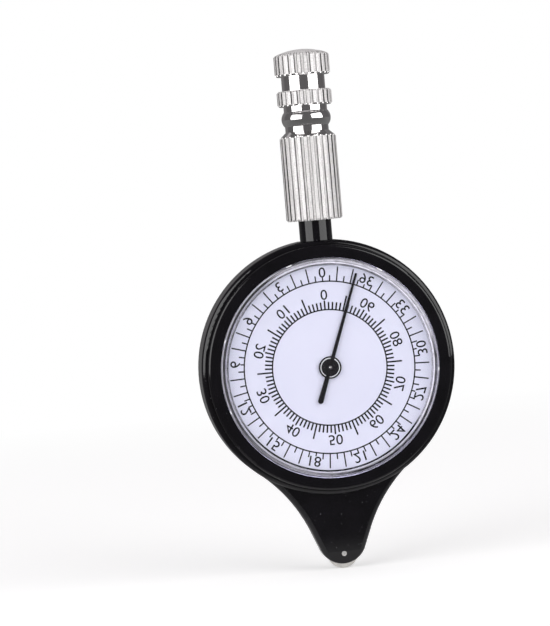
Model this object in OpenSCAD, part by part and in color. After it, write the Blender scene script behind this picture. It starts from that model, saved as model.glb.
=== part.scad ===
// Opisometer: a pocket map measurer. A small wheel at the foot of a tapered case is rolled
// along a route, and a 60:1 gear train turns the hand once round the dial for each metre,
// which the dial divides into 100 centimetres and, on its outer scale, into inches.
// Frame: the origin is the point where the wheel touches the map, +Z runs up the handle,
// the dial faces -Y and +X is to the right of someone who reads the dial.

/* [Round case] */
// Diameter of the round case
case_d = 43; // [42:0.5:45]
// Thickness of the case, from the top of the bezel to the back
case_t = 8.8; // [8.7:0.1:10]
// Wall round the side of the case
side_wall = 1.5; // [1.3:0.1:1.7]
// Wall at the back of the case
back_wall = 1.1; // [0.9:0.1:1.2]
// Rounding of the case's front rim, outside the bezel
rim_round = 0.8; // [0.5:0.1:0.9]
// Rounding of the case's back edge
back_round = 1.4; // [0.8:0.1:2]

/* [Tapered foot] */
// Drop from the rim of the round case to the wheel's axle
foot_drop = 10.1; // [9.5:0.1:11.5]
// Thickness of the foot
foot_t = 3.8; // [3.7:0.1:4.4]
// Wall of the foot, front and back
foot_wall = 0.7; // [0.6:0.05:0.75]
// Wall along the foot's flanks
flank_wall = 0.7; // [0.6:0.05:0.8]
// Radius of the foot's rounded tip
tip_r = 4.1; // [4:0.1:4.6]
// Height of the tip's centre above the wheel's axle
tip_rise = 2.3; // [2.2:0.05:2.5]
// Lean of each flank from the vertical, in degrees
flank_lean = 22; // [21:0.1:24]
// Radius of the hollow curve that joins each flank to the round case
flank_hollow = 26; // [22:0.5:28]
// Rounding of the foot's edges
foot_round = 0.9; // [0.4:0.1:1]
// Height above the axle at which the bevel of the tip starts
bevel_rise = 0.4; // [0.2:0.1:0.6]
// Slope of that bevel, in degrees
tip_bevel = 14; // [8:1:16]

/* [Bezel and crystal] */
// Width of the case's shoulder outside the bezel
shoulder_w = 0.9; // [0.85:0.05:1.1]
// Width of the bezel's face
bezel_w = 2.1; // [1.9:0.05:2.3]
// Wall of the bezel outside crystal and dial
bezel_wall = 1.35; // [1.3:0.05:1.5]
// Height of the bezel above the case's shoulder
bezel_h = 1.6; // [1.5:0.05:1.7]
// Rounding of the bezel's outer edge
bezel_round = 0.5; // [0.2:0.1:0.7]
// Thickness of the bezel's lip over the crystal's flange
bezel_lip = 0.9; // [0.8:0.05:0.95]
// Depth of the crystal's face below the top of the bezel
crystal_recess = 0.1; // [0.05:0.05:0.2]
// Thickness of the crystal's window
crystal_t = 0.55; // [0.45:0.05:0.6]
// Width of the crystal's upright skirt
skirt_w = 0.95; // [0.7:0.05:1.1]
// Bevel round the crystal's front edge
crystal_bevel = 0.3; // [0.1:0.05:0.4]
// Depth of the space for the hand, between dial and crystal
hand_room = 0.65; // [0.6:0.05:0.75]
// Width of the snap ring that holds the bezel
snap_w = 0.4; // [0.3:0.05:0.45]
// Height of the snap ring
snap_h = 0.5; // [0.3:0.05:0.6]

/* [Dial and hand] */
// Width of the dial's seat, outside the movement plate
dial_seat_w = 1.2; // [1.15:0.05:1.4]
// Thickness of the dial
dial_t = 0.4; // [0.3:0.05:0.45]
// Diameter of each dial foot
dial_foot_d = 0.8; // [0.6:0.1:1]
// Distance of each dial foot from the centre
dial_foot_circle = 11.5; // [9:0.5:12.5]
// Gap between the hand's tip and the crystal's skirt
hand_gap = 1.1; // [0.4:0.1:4]
// Length of the hand's tail
tail_l = 6.3; // [4:0.1:8]
// Width of the hand beside the hub
hand_w = 0.64; // [0.4:0.02:0.9]
// Width of the hand at its tip
hand_tip_w = 0.36; // [0.2:0.02:0.5]
// Width of the tail at its end
tail_w = 0.9; // [0.6:0.05:1.2]
// Thickness of the hand's blade
hand_t = 0.2; // [0.15:0.01:0.22]
// Diameter of the hand's hub
hub_d = 3.8; // [3.4:0.1:4.4]
// Diameter of the cap on the hub
cap_d = 2.95; // [2.4:0.05:3.2]
// Thickness of that cap
cap_t = 0.15; // [0.1:0.01:0.18]
// Where the hand stands at rest, clockwise from the dial's zero, in degrees
hand_angle = 20.4; // [0:0.1:360]

/* [Tracing wheel] */
// Length of map that turns the hand once round the dial
dial_length = 1000; // [980:5:1020]
// Width of the wheel
wheel_w = 0.9; // [0.7:0.05:1]
// Bevel on each edge of the wheel
wheel_bevel = 0.12; // [0.05:0.01:0.2]
// Number of fine grip teeth round the wheel
wheel_grip = 72; // [48:1:90]
// Depth of those teeth
wheel_grip_depth = 0.06; // [0.03:0.01:0.09]
// Diameter of the wheel's axle
axle_d = 0.85; // [0.7:0.05:0.9]
// Diameter of the centre mark in each end of the axle
axle_mark_d = 0.3; // [0.2:0.05:0.4]

/* [Gear train] */
// Module of the first pair: wheel pinion and first gear
module_1 = 0.2; // [0.19:0.005:0.205]
// Module of the second pair: first pinion and second gear
module_2 = 0.5; // [0.48:0.01:0.51]
// Teeth on the wheel's pinion and on the first pinion
pinion_teeth = 8; // [7:1:8]
// Teeth on the second pinion
second_pinion_teeth = 16; // [14:1:18]
// Thickness taken from each tooth so that the gears run free
tooth_play = 0.035; // [0.025:0.005:0.05]
// Thickness of a gear's web
gear_t = 0.4; // [0.35:0.01:0.45]
// Width of a gear's rim, and of its web between the windows
gear_rim = 0.5; // [0.4:0.05:0.8]
// Length of a pinion's teeth
pinion_l = 0.5; // [0.45:0.01:0.54]
// Wall of the tracing wheel's hub round its bore
wheel_hub_wall = 0.4; // [0.3:0.05:0.4]
// Wall of the first gear's hub round its bore
first_hub_wall = 0.6; // [0.4:0.05:0.9]
// Wall of the second gear's hub round its bore
second_hub_wall = 1.3; // [0.8:0.1:1.5]
// Wall of the centre gear's hub round its bore
centre_hub_wall = 1; // [0.8:0.1:1.2]
// Diameter of the pin that the first gear turns on
first_arbor_d = 0.7; // [0.6:0.05:0.8]
// Diameter of the pin that the second gear turns on
second_arbor_d = 0.9; // [0.8:0.05:1]
// Diameter of the centre arbor
centre_arbor_d = 1.2; // [1:0.05:1.3]
// Diameter of the centre arbor's rear pivot and of the end that carries the hand
pivot_d = 0.8; // [0.6:0.05:0.9]
// Depth of the first arbor's seat in each wall of the foot
pin_seat = 0.4; // [0.3:0.05:0.5]
// Running clearance round an arbor, on the radius
run = 0.03; // [0.02:0.005:0.05]
// Gap between parts that pass beside each other
side_gap = 0.15; // [0.1:0.01:0.16]

/* [Movement frame] */
// Thickness of the movement plate
plate_t = 0.5; // [0.4:0.05:0.55]
// Width of the centre bush's flange, behind the plate
bush_flange_w = 0.5; // [0.3:0.05:0.8]
// Thickness of that flange
bush_flange_t = 0.3; // [0.2:0.05:0.5]
// Thickness of the bridge
bridge_t = 0.5; // [0.4:0.05:0.6]
// Space behind the bridge for its screws
bridge_gap = 0.7; // [0.6:0.05:0.8]
// Width of the bridge's arms
bridge_arm = 4; // [3:0.1:5]
// Distance of the pillars' centres from the plate's edge
pillar_inset = 2.4; // [2.2:0.1:2.8]
// Diameter of a pillar
pillar_d = 2.2; // [1.8:0.1:2.4]
// Width of the ledge that the plate's edge rests on
ledge_w = 0.9; // [0.8:0.05:1]
// Thickness of that ledge
ledge_t = 0.5; // [0.4:0.05:0.6]

/* [Screws] */
// Diameter of a case screw
case_screw_d = 1.4; // [1.2:0.1:1.6]
// Diameter of a case screw's head
case_head_d = 2.6; // [2.4:0.1:2.8]
// Height of a case screw's head
case_head_h = 0.6; // [0.5:0.05:0.7]
// Distance of the case screws' centres from the wall round the case
case_screw_inset = 1.6; // [1.45:0.05:1.7]
// Diameter of the boss round a case screw
case_boss_d = 3.6; // [3.4:0.1:3.8]
// Thickness of case between a case screw's tip and the movement plate's ledge
screw_roof = 0.2; // [0.1:0.05:0.4]
// Diameter of a movement screw
screw_d = 0.9; // [0.8:0.05:1]
// Diameter of a movement screw's head
screw_head_d = 1.7; // [1.5:0.05:1.8]
// Height of the bridge screws' heads
screw_head_h = 0.5; // [0.4:0.05:0.55]
// Length of a bridge screw inside its pillar
bridge_screw_l = 2.8; // [2:0.1:4]
// Length of a plate screw past the plate and its ledge
plate_screw_bite = 0.4; // [0.3:0.05:0.5]
// Wall and height of the boss that takes that length
plate_boss_wall = 0.8; // [0.6:0.05:0.9]
plate_boss_h = 0.5; // [0.5:0.05:0.7]
// Distance of the plate screws' centres from the plate's edge
plate_screw_inset = 1; // [0.95:0.05:1.1]
// Width of a screw's slot
slot_w = 0.3; // [0.2:0.05:0.4]

/* [Stem and handle] */
// Diameter of the stem
stem_d = 5.5; // [5:0.1:6.2]
// Length of stem that shows between case and handle
stem_l = 3.45; // [2.5:0.05:4]
// Diameter of the stem's neck, where the case grips it
stem_neck_d = 2.2; // [2:0.1:2.4]
// Diameter of the stem's foot, inside the case
stem_foot_d = 3.2; // [3:0.05:3.3]
// Thickness of that foot
stem_foot_t = 0.8; // [0.6:0.05:0.9]
// Diameter of the stem's threaded end, inside the handle
stem_thread_d = 3.8; // [3.4:0.1:4.4]
// Length of that threaded end
stem_thread_l = 8; // [6:0.5:12]
// Diameter of the grip's fluted barrel
grip_d = 9.45; // [9:0.05:10]
// Length of the grip's fluted barrel
grip_l = 13.95; // [12:0.05:16]
// Height of the cone above the barrel
cone_h = 1; // [0.8:0.1:1.4]
// Diameter of the handle's smooth necks
neck_d = 7.3; // [6.8:0.1:7.8]
// Height of the neck below the bead
low_neck_h = 0.9; // [0.6:0.1:1.4]
// Diameter of the smooth bead
bead_d = 8.3; // [8:0.1:8.6]
// Height of the bead
bead_h = 2.5; // [2:0.1:3]
// Height of the neck above the bead
mid_neck_h = 0.9; // [0.6:0.1:1.4]
// Diameter of the fluted ring above the bead
ring_d = 9.2; // [8.8:0.1:9.6]
// Height of that ring
ring_h = 2.6; // [2:0.1:3.2]
// Height of the upper neck
top_neck_h = 2.45; // [1.8:0.05:3]
// Diameter of the fluted head
head_d = 9.3; // [8.8:0.1:9.6]
// Height of the fluted head
head_h = 3.6; // [3:0.1:4.2]
// Rise of the dome on the head
dome_h = 0.85; // [0.4:0.05:1.4]
// Bevel at the ends of the fluted parts
flute_bevel = 0.3; // [0.1:0.05:0.5]
// Number of flutes round the handle
flutes = 26; // [22:1:30]
// Radius of the hollow of one flute
flute_r = 0.27; // [0.24:0.01:0.4]
// Depth of one flute
flute_depth = 0.24; // [0.15:0.01:0.32]

/* [Hidden] */
$fn = 96;

cut = 0.5;            // how far a cutter runs past the face it opens
fit = 0.05;           // gap round a piece that drops into its seat
lap = 0.02;           // how far the curves of the foot's outline run into each other
round_edge = 5;       // angle at which a rounding crosses the faces beside it

// Steps of the gear train: 5 x 4 x 3 makes 60 turns of the wheel to one of the hand
step_1 = 5;
step_2 = 4;
step_3 = 3;
first_teeth = step_1 * pinion_teeth;
second_teeth = step_2 * pinion_teeth;
centre_teeth = step_3 * second_pinion_teeth;

// Radii of the round case
case_r = case_d / 2;
cavity_r = case_r - side_wall;
bezel_r = case_r - shoulder_w;
window_r = bezel_r - bezel_w;
bore_r = bezel_r - bezel_wall;              // bore of the bezel round dial and crystal
snap_r = (bore_r + bezel_r) / 2;            // middle of the snap ring
dial_r = bore_r - fit;
ledge_r = bore_r - dial_seat_w;             // the ledge's outer edge, where the dial's seat starts
plate_r = ledge_r - fit;
skirt_r = window_r - fit;
hand_l = skirt_r - skirt_w - hand_gap;
case_screw_circle = cavity_r - case_screw_inset;
plate_screw_circle = plate_r - plate_screw_inset;
pillar_circle = plate_r - pillar_inset;
axle_drop = case_r + foot_drop;
wheel_r = dial_length / (step_1 * step_2 * step_3) / (2 * PI);
dial_z = axle_drop + wheel_r;

// Depths in the case, from its mid plane: positive towards the dial's reader
front_z = case_t / 2;
back_z = -case_t / 2;
floor_z = back_z + back_wall;
shoulder_z = front_z - bezel_h;
lip_z = front_z - bezel_lip;
crystal_z = front_z - crystal_recess;
crystal_under = crystal_z - crystal_t;
dial_top = crystal_under - hand_room;
dial_under = dial_top - dial_t;
plate_under = dial_under - plate_t;
ledge_under = plate_under - ledge_t;
bridge_under = floor_z + bridge_gap;
bridge_top = bridge_under + bridge_t;
foot_half = foot_t / 2;
foot_room = foot_half - foot_wall;

// Outline of the foot: a round tip, a straight flank on each side and a hollow arc that joins it
// to the case. Where two of them would just touch, they cross by lap.
tip_y = tip_rise - axle_drop;
flank_n = [cos(flank_lean), -sin(flank_lean)];
flank_d = [sin(flank_lean), cos(flank_lean)];
flank_tip = tip_r - lap;                    // the flank's line, from the tip's centre
flank_far = flank_tip - tip_y * sin(flank_lean);
hollow_far = flank_far + flank_hollow - lap;
hollow_s = sqrt(pow(case_r + flank_hollow - lap, 2) - pow(hollow_far, 2));
hollow_c = hollow_far * flank_n - hollow_s * flank_d;
flank_l = -hollow_s - tip_y * cos(flank_lean);
hollow_turn = 180 - flank_lean - atan2(-hollow_c[1], -hollow_c[0]);

// Gear train: centre distances, heights of the arbors and the last pair's module
pressure = 20;
shift = 0.5;                                // keeps eight teeth from being undercut
tip_limit = 1.2;                            // keeps a pinion's shifted teeth from ending in points
dedendum = 1.25;
a_1 = module_1 * (pinion_teeth + first_teeth) / 2;
a_2 = module_2 * (pinion_teeth + second_teeth) / 2;
first_y = a_1 - axle_drop;
second_y = first_y + a_2;
module_3 = -second_y / ((second_pinion_teeth + centre_teeth) / 2);

// Depths of the train's layers
wheel_half = wheel_w / 2;
first_gear_z = side_gap - foot_room;
pinion_1_z = first_gear_z - (pinion_l - gear_t) / 2;
second_gear_z = foot_room - side_gap - gear_t;
pinion_2_z = second_gear_z - (pinion_l - gear_t) / 2;
centre_gear_z = -gear_t;
pinion_3_z = centre_gear_z - side_gap;
pinion_3_l = gear_t + 2 * side_gap;
hub_low = centre_gear_z - gear_t;
hub_high = plate_under - bush_flange_t - fit;
hub_r = centre_arbor_d / 2 + centre_hub_wall;
wheel_hub_r = axle_d / 2 + wheel_hub_wall;
first_hub_r = first_arbor_d / 2 + first_hub_wall;
second_hub_r = second_arbor_d / 2 + second_hub_wall;
hand_z = dial_top + side_gap;

// Places of the screws and pillars, as angles from +X
case_screw_angles = [30, 150, 200, 340];
plate_screw_angles = [60, 180, 300];
pillar_angles = [90, 225, 315];
dial_foot_angles = [0, 180];
plate_screw_tip = ledge_under - plate_screw_bite;
plate_boss_r = screw_d / 2 + plate_boss_wall;
case_screw_top = ledge_under - screw_roof;
case_head_z = back_z + fit;

// Handle: heights above the wheel's contact point. The stem stands on a flat across the rim.
seat_y = sqrt(pow(case_r, 2) - pow(stem_d / 2 + fit, 2));
seat_z = dial_z + seat_y;
grip_z = seat_z + stem_l;
cone_z = grip_z + grip_l;
low_neck_z = cone_z + cone_h;
bead_z = low_neck_z + low_neck_h;
mid_neck_z = bead_z + bead_h;
ring_z = mid_neck_z + mid_neck_h;
top_neck_z = ring_z + ring_h;
head_z = top_neck_z + top_neck_h;
dome_z = head_z + head_h;

black = [0.07, 0.065, 0.085];
nickel = [0.82, 0.81, 0.79];
brass = [0.78, 0.62, 0.32];
steel = [0.66, 0.67, 0.70];
paper_white = [0.90, 0.90, 0.97];

// ---- Frames and small tools -------------------------------------------------------------

// Lays drawing-board coordinates, x right and y up round the dial's centre, into the case
module on_dial(y = 0) {
    translate([0, 0, dial_z + y]) rotate([90, 0, 0]) children();
}

// Repeats its children round the centre at the given angles
module around(angles, circle_r) {
    for (a = angles) rotate(a) translate([circle_r, 0, 0]) children();
}

// A disc from depth z0 to z1
module disc(r, z0, z1) {
    translate([0, 0, z0]) cylinder(r = r, h = z1 - z0);
}

// A ring from depth z0 to z1
module ring(r_out, r_in, z0, z1) {
    difference() {
        disc(r_out, z0, z1);
        disc(r_in, z0 - cut, z1 + cut);
    }
}

// A slotted cheese-head screw: head from z0 to z1, shank on to z2
module screw(shank_d, top_d, z0, z1, z2) {
    difference() {
        union() {
            disc(top_d / 2, min(z0, z1), max(z0, z1));
            disc(shank_d / 2, min(z1, z2), max(z1, z2));
        }
        translate([-top_d, -slot_w / 2, z0 < z1 ? z0 - cut : z0 - slot_w])
            cube([2 * top_d, slot_w, cut + slot_w]);
    }
}

// ---- Gear teeth -------------------------------------------------------------------------

function inv(a) = tan(a) * 180 / PI - a;

// Half the angle that a tooth spans at radius r
function tooth_half(r, m, n, x) =
    let (rp = m * n / 2, rb = rp * cos(pressure))
    (90 + 360 / PI * x * tan(pressure)) / n - tooth_play / (2 * rp) * 180 / PI
    + inv(pressure) - inv(acos(min(1, rb / r)));

function polar(r, a) = [r * cos(a), r * sin(a)];

function tip_radius(m, n, x) = m * (n / 2 + min(1 + x, tip_limit));

// Involute gear outline with a tooth on the +x axis; x shifts the teeth outwards
function gear_points(m, n, x) =
    let (rb = m * n / 2 * cos(pressure),
         tip = tip_radius(m, n, x),
         root = m * (n / 2 + x - dedendum),
         start = max(rb, root),
         rise = [for (k = [0 : 4]) start + (tip - start) * k / 4])
    [for (i = [0 : n - 1]) let (mid = 360 * i / n)
        each concat(
            [polar(root, mid - tooth_half(start, m, n, x))],
            [for (r = rise) polar(r, mid - tooth_half(r, m, n, x))],
            [for (k = [4 : -1 : 0]) polar(rise[k], mid + tooth_half(rise[k], m, n, x))],
            [polar(root, mid + tooth_half(start, m, n, x))])];

// A pinion has a tooth that points up to the gear it drives
module pinion(m, n, x, z0, l) {
    translate([0, 0, z0]) rotate(90) linear_extrude(l) polygon(gear_points(m, n, x));
}

// A gear has a gap that faces down to the pinion that drives it. Round windows lighten its web.
module gear_wheel(m, n, x, bore, z0, windows) {
    rim_in = m * (n / 2 + x - dedendum) - gear_rim;
    hub_out = bore + gear_rim;
    window_circle = (rim_in + hub_out) / 2;
    hole_r = min((rim_in - hub_out) / 2, window_circle * sin(180 / windows) - gear_rim / 2);
    difference() {
        translate([0, 0, z0]) rotate(-90 + 180 / n)
            linear_extrude(gear_t) polygon(gear_points(m, n, x));
        disc(bore, z0 - cut, z0 + gear_t + cut);
        around([for (i = [0 : windows - 1]) 360 * i / windows], window_circle)
            disc(hole_r, z0 - cut, z0 + gear_t + cut);
    }
}

// ---- Case -------------------------------------------------------------------------------

// Plan of the tapered foot, drawn in from its outline by inset
module foot_plan(inset = 0) {
    side = [
        [0, 0],
        hollow_c,
        [0, tip_y] + (flank_tip - inset) * flank_n + flank_l * flank_d,
        [0, tip_y] + (flank_tip - inset) * flank_n,
        [0, tip_y]
    ];
    translate([0, tip_y]) circle(tip_r - inset);
    for (s = [0, 1]) mirror([s, 0]) difference() {
        polygon(side);
        translate(hollow_c) circle(flank_hollow + inset);
    }
}

// Section of the waste that rounds an edge: the corner is at the origin, the solid at -x, -y
module round_waste(r) {
    difference() {
        translate([-r, -r]) square(r + cut);
        translate([-r, -r]) circle(r / cos(round_edge));
    }
}

// Waste that rounds the front edge of one flank and of its hollow
module flank_edge_waste() {
    translate([0, tip_y, foot_half]) rotate(-flank_lean) translate([flank_tip, -lap, 0])
        rotate([-90, 0, 0]) mirror([0, 1, 0])
            linear_extrude(flank_l + 2 * lap) round_waste(foot_round);
    translate([hollow_c[0], hollow_c[1], foot_half]) rotate(180 - flank_lean - hollow_turn)
        rotate_extrude(angle = hollow_turn)
            translate([flank_hollow, 0]) mirror([1, 0]) round_waste(foot_round);
}

// Waste that rounds the front edge of the tip
module tip_edge_waste() {
    translate([0, tip_y, foot_half]) rotate(flank_lean - 180)
        rotate_extrude(angle = 180 - 2 * flank_lean)
            translate([tip_r, 0]) round_waste(foot_round);
}

// Waste of the bevel that thins the tip from the axle down
module tip_bevel_waste() {
    translate([-tip_r, bevel_rise - axle_drop, foot_half]) rotate([tip_bevel, 0, 0])
        translate([0, -2 * tip_r, 0]) cube([2 * tip_r, 2 * tip_r, foot_half]);
}

// The foot's front half, with its edges rounded
module foot_half_solid() {
    difference() {
        linear_extrude(foot_half) foot_plan();
        for (s = [0, 1]) mirror([s, 0, 0]) flank_edge_waste();
        tip_edge_waste();
        tip_bevel_waste();
    }
}

// What both halves leave free: the foot's hollow, the wheel's slot, room for its pinion and
// the seats of the two pins
module foot_hollow() {
    translate([0, 0, -foot_room]) linear_extrude(2 * foot_room) foot_plan(flank_wall);
    translate([0, -axle_drop, 0]) {
        disc(wheel_r + side_gap, -wheel_half - side_gap, wheel_half + side_gap);
        disc(tip_radius(module_1, pinion_teeth, shift) + side_gap, -foot_room, 0);
        disc(wheel_hub_r + side_gap, 0, foot_room);
        disc(axle_d / 2, -case_t, case_t);
    }
    translate([0, first_y, 0])
        disc(first_arbor_d / 2, -foot_room - pin_seat, foot_room + pin_seat);
}

// Flat across the rim for the stem, and the bore for its neck
module stem_seat() {
    translate([-stem_d, seat_y, back_z - cut]) cube([2 * stem_d, case_r, case_t + 2 * cut]);
    translate([0, cavity_r - cut, 0]) rotate([-90, 0, 0])
        cylinder(d = stem_neck_d, h = side_wall + 2 * cut);
}

module front_case() {
    color(black) on_dial() difference() {
        union() {
            difference() {
                union() {
                    rotate_extrude() difference() {
                        square([case_r, shoulder_z]);
                        translate([case_r, shoulder_z]) round_waste(rim_round);
                    }
                    foot_half_solid();
                }
                disc(cavity_r, -cut, ledge_under);
                disc(ledge_r - ledge_w, -cut, dial_under);
                disc(ledge_r, plate_under, case_t);
                disc(bore_r, dial_under, case_t);
                translate([0, second_y, 0]) disc(second_arbor_d / 2 + side_gap, -cut, plate_under);
                foot_hollow();
            }
            ring(snap_r + snap_w / 2, snap_r - snap_w / 2, dial_under, shoulder_z + snap_h);
            around(case_screw_angles, case_screw_circle)
                disc(case_boss_d / 2, 0, ledge_under + ledge_t / 2);
            around(plate_screw_angles, plate_screw_circle)
                disc(plate_boss_r, ledge_under - plate_boss_h, plate_under);
        }
        around(case_screw_angles, case_screw_circle) disc(case_screw_d / 2, -cut, case_screw_top);
        around(plate_screw_angles, plate_screw_circle)
            disc(screw_d / 2, plate_screw_tip, case_t);
        stem_seat();
    }
}

module rear_case() {
    color(black) on_dial() difference() {
        union() {
            difference() {
                union() {
                    rotate_extrude() difference() {
                        translate([0, back_z]) square([case_r, -back_z]);
                        translate([case_r, back_z]) mirror([0, 1]) round_waste(back_round);
                    }
                    mirror([0, 0, 1]) foot_half_solid();
                }
                disc(cavity_r, floor_z, cut);
                foot_hollow();
            }
            around(case_screw_angles, case_screw_circle)
                disc(case_boss_d / 2, floor_z - back_wall / 2, 0);
        }
        around(case_screw_angles, case_screw_circle) {
            disc(case_screw_d / 2 + fit, back_z - cut, cut);
            disc(case_head_d / 2 + fit, back_z - cut, case_head_z + case_head_h);
        }
        stem_seat();
    }
}

module case_screws() {
    color(steel) on_dial() around(case_screw_angles, case_screw_circle)
        screw(case_screw_d, case_head_d, case_head_z, case_head_z + case_head_h, case_screw_top);
}

// ---- Bezel, crystal and dial ------------------------------------------------------------

module bezel() {
    color(black) on_dial() difference() {
        rotate_extrude() difference() {
            translate([window_r, shoulder_z]) square([bezel_r - window_r, bezel_h]);
            translate([bezel_r, front_z]) round_waste(bezel_round);
        }
        disc(bore_r, shoulder_z - cut, lip_z);
        ring(snap_r + snap_w / 2, snap_r - snap_w / 2, shoulder_z - cut, shoulder_z + snap_h + fit);
    }
}

module crystal() {
    color([0.86, 0.90, 0.94, 0.25]) on_dial() difference() {
        union() {
            rotate_extrude() polygon([
                [0, dial_top], [skirt_r, dial_top], [skirt_r, crystal_z - crystal_bevel],
                [skirt_r - crystal_bevel, crystal_z], [0, crystal_z]]);
            disc(dial_r, dial_top, lip_z);
        }
        disc(skirt_r - skirt_w, dial_top - cut, crystal_under);
    }
}

module dial() {
    color(paper_white) on_dial() {
        difference() {
            disc(dial_r, dial_under, dial_top);
            disc(hub_r - fit, dial_under - cut, dial_top + cut);
        }
        around(dial_foot_angles, dial_foot_circle)
            disc(dial_foot_d / 2, plate_under - plate_t, dial_under);
    }
}

// ---- Movement frame ---------------------------------------------------------------------

module movement_plate() {
    color(brass) on_dial() difference() {
        disc(plate_r, plate_under, dial_under);
        disc(hub_r, plate_under - cut, dial_under + cut);
        translate([0, second_y, 0]) disc(second_arbor_d / 2, plate_under - cut, dial_under + cut);
        around(dial_foot_angles, dial_foot_circle)
            disc(dial_foot_d / 2 + fit, plate_under - cut, dial_under + cut);
        around(plate_screw_angles, plate_screw_circle) {
            disc(screw_d / 2 + fit, plate_under - cut, dial_under + cut);
            disc(screw_head_d / 2 + fit, plate_under + plate_t / 2, dial_under + cut);
        }
    }
}

module plate_screws() {
    color(steel) on_dial() around(plate_screw_angles, plate_screw_circle)
        screw(screw_d, screw_head_d, dial_under, plate_under + plate_t / 2, plate_screw_tip);
}

// One arm of the bridge, from the centre to a point
module bridge_arm_plan(angle, reach, end_r) {
    rotate(angle) {
        translate([0, -bridge_arm / 2]) square([reach, bridge_arm]);
        translate([reach, 0]) circle(end_r);
    }
}

module bridge() {
    color(brass) on_dial() difference() {
        translate([0, 0, bridge_under]) linear_extrude(bridge_t) {
            circle(bridge_arm);
            for (a = pillar_angles) bridge_arm_plan(a, pillar_circle, bridge_arm / 2);
            bridge_arm_plan(-90, -second_y, bridge_arm / 2);
        }
        disc(pivot_d / 2 + run, bridge_under - cut, bridge_top + cut);
        translate([0, second_y, 0]) disc(second_arbor_d / 2, bridge_under - cut, bridge_top + cut);
        around(pillar_angles, pillar_circle)
            disc(screw_d / 2 + fit, bridge_under - cut, bridge_top + cut);
    }
}

module bridge_pillars() {
    color(brass) on_dial() around(pillar_angles, pillar_circle)
        ring(pillar_d / 2, screw_d / 2, bridge_top, plate_under);
}

module bridge_screws() {
    color(steel) on_dial() around(pillar_angles, pillar_circle)
        screw(screw_d, screw_head_d, bridge_under - screw_head_h, bridge_under,
              bridge_top + bridge_screw_l);
}

module centre_bush() {
    color(brass) on_dial() difference() {
        union() {
            disc(hub_r + bush_flange_w, plate_under - bush_flange_t, plate_under);
            disc(hub_r, plate_under, dial_under);
            disc(hub_r - 2 * fit, dial_under, dial_top);
        }
        disc(centre_arbor_d / 2 + run, 0, dial_top + cut);
    }
}

// A dished washer that presses lightly on the centre gear's hub, so that the hand stays put
module tension_washer() {
    bore = centre_arbor_d / 2 + 2 * fit;
    color(steel) on_dial() rotate_extrude() polygon([
        [hub_r, bridge_top], [hub_r + 2 * side_gap, bridge_top],
        [bore + side_gap, hub_low - run], [bore, hub_low - run],
        [bore, hub_low - run - side_gap]]);
}

// ---- Fixed pins -------------------------------------------------------------------------

module wheel_axle() {
    color(nickel) on_dial(-axle_drop) difference() {
        disc(axle_d / 2, -foot_half, foot_half);
        for (s = [0, 1]) mirror([0, 0, s])
            disc(axle_mark_d / 2, foot_half - axle_mark_d / 2, foot_half + cut);
    }
}

module first_arbor() {
    color(steel) on_dial(first_y)
        disc(first_arbor_d / 2, -foot_room - pin_seat, foot_room + pin_seat);
}

module second_arbor() {
    color(steel) on_dial(second_y) disc(second_arbor_d / 2, bridge_under, dial_under);
}

// ---- Wheel and gear train ---------------------------------------------------------------

module tracing_wheel() {
    // The rim is a polygon with a corner at each grip tooth and one in each gap between them
    rim = [for (i = [0 : 2 * wheel_grip - 1])
        polar(wheel_r - (i % 2) * wheel_grip_depth, 180 * i / wheel_grip - 90)];
    color(nickel) on_dial(-axle_drop) difference() {
        intersection() {
            rotate_extrude() polygon([
                [0, -wheel_half], [wheel_r - wheel_bevel, -wheel_half],
                [wheel_r + wheel_bevel, 2 * wheel_bevel - wheel_half],
                [wheel_r + wheel_bevel, wheel_half - 2 * wheel_bevel],
                [wheel_r - wheel_bevel, wheel_half], [0, wheel_half]]);
            translate([0, 0, -wheel_w]) linear_extrude(2 * wheel_w) polygon(rim);
        }
        disc(wheel_hub_r, -wheel_w, wheel_w);
    }
}

module wheel_pinion() {
    color(brass) on_dial(-axle_drop) difference() {
        union() {
            pinion(module_1, pinion_teeth, shift, pinion_1_z, pinion_l);
            disc(wheel_hub_r, pinion_1_z + pinion_l, foot_room - side_gap);
        }
        disc(axle_d / 2 + run, -foot_t, foot_t);
    }
}

module first_gear() {
    color(brass) on_dial(first_y)
        gear_wheel(module_1, first_teeth, -shift, first_hub_r, first_gear_z, windows = 5);
}

module first_pinion() {
    color(brass) on_dial(first_y) difference() {
        union() {
            disc(first_hub_r, pinion_1_z, pinion_2_z);
            pinion(module_2, pinion_teeth, shift, pinion_2_z, pinion_l);
        }
        disc(first_arbor_d / 2 + run, -foot_t, foot_t);
    }
}

module second_gear() {
    color(brass) on_dial(second_y)
        gear_wheel(module_2, second_teeth, -shift, second_hub_r, second_gear_z, windows = 5);
}

module second_pinion() {
    color(brass) on_dial(second_y) difference() {
        union() {
            disc(second_hub_r, bridge_top + side_gap, ledge_under - side_gap);
            pinion(module_3, second_pinion_teeth, 0, pinion_3_z, pinion_3_l);
        }
        disc(second_arbor_d / 2 + run, -case_t, case_t);
    }
}

module centre_gear() {
    color(brass) on_dial() {
        gear_wheel(module_3, centre_teeth, 0, hub_r, centre_gear_z, windows = 6);
        ring(hub_r, centre_arbor_d / 2, hub_low, hub_high);
    }
}

module centre_arbor() {
    color(steel) on_dial() {
        disc(pivot_d / 2, bridge_under, bridge_top);
        disc(centre_arbor_d / 2, bridge_top, hand_z - fit);
        disc(pivot_d / 2, hand_z - fit, hand_z + hand_t + cap_t);
    }
}

// ---- Hand -------------------------------------------------------------------------------

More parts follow.
